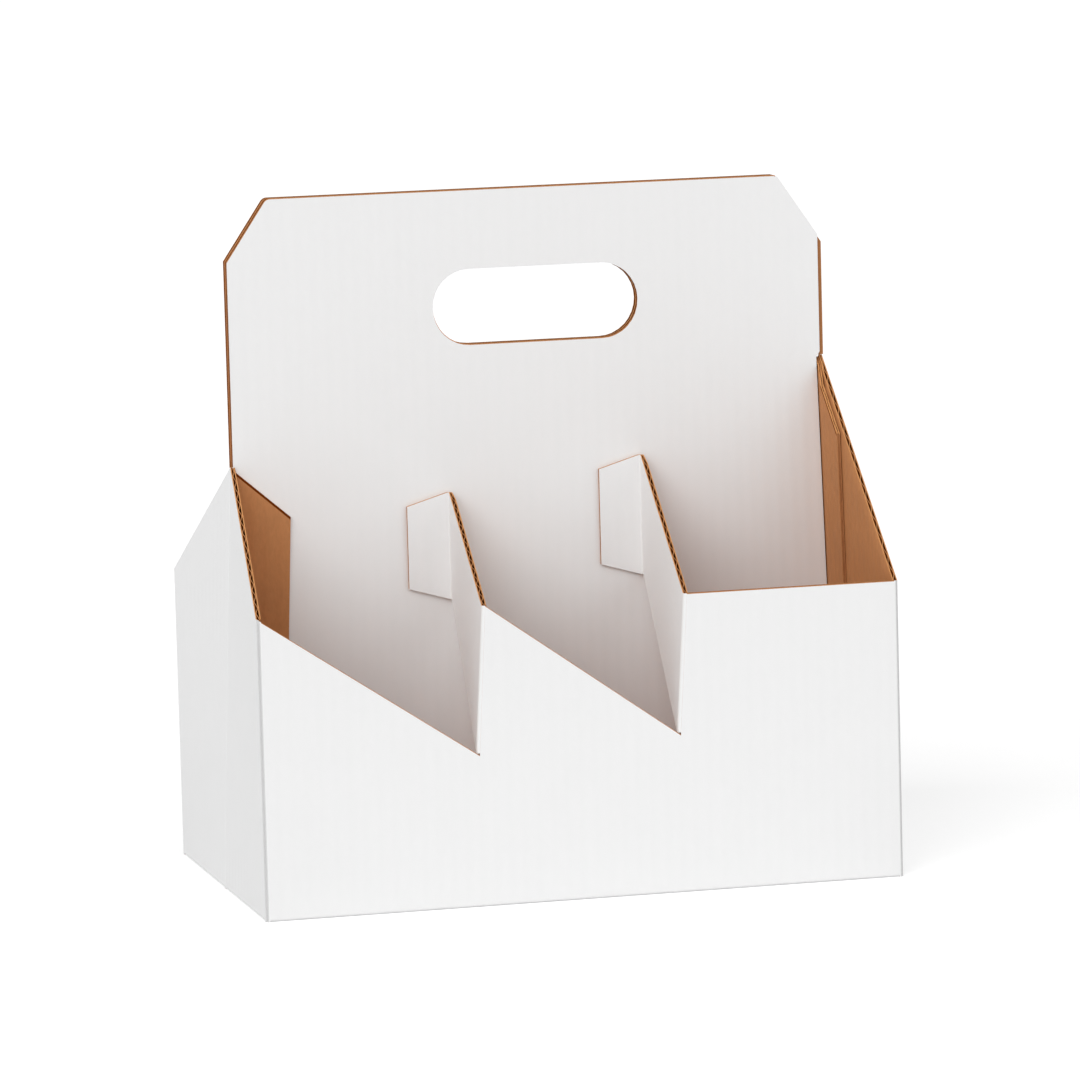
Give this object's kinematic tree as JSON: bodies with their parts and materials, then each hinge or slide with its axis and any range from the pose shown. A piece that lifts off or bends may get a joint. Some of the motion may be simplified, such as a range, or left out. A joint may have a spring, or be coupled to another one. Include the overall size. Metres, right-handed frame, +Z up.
{
  "type": "cardboard bottle carrier",
  "caption": "Empty folded cardboard bottle carrier: open cells in two rows, stepped side walls, leaning gable ends and a raised centre panel with a hand hole.",
  "frame": {"origin": "centre of the bounding box, on the floor the carrier stands on", "axes": "+Z up, X along the handle panel with the taller end wall at +X, Y across the two rows of cells with the side whose white handle face shows at -Y"},
  "size_m": [0.264, 0.166, 0.28],
  "materials": {
    "board": "matte",
    "back_board": "matte"
  },
  "bodies": {
    "root": {"carrier_body": "board", "handle_back_ply": "back_board"}
  },
  "joints": []
}
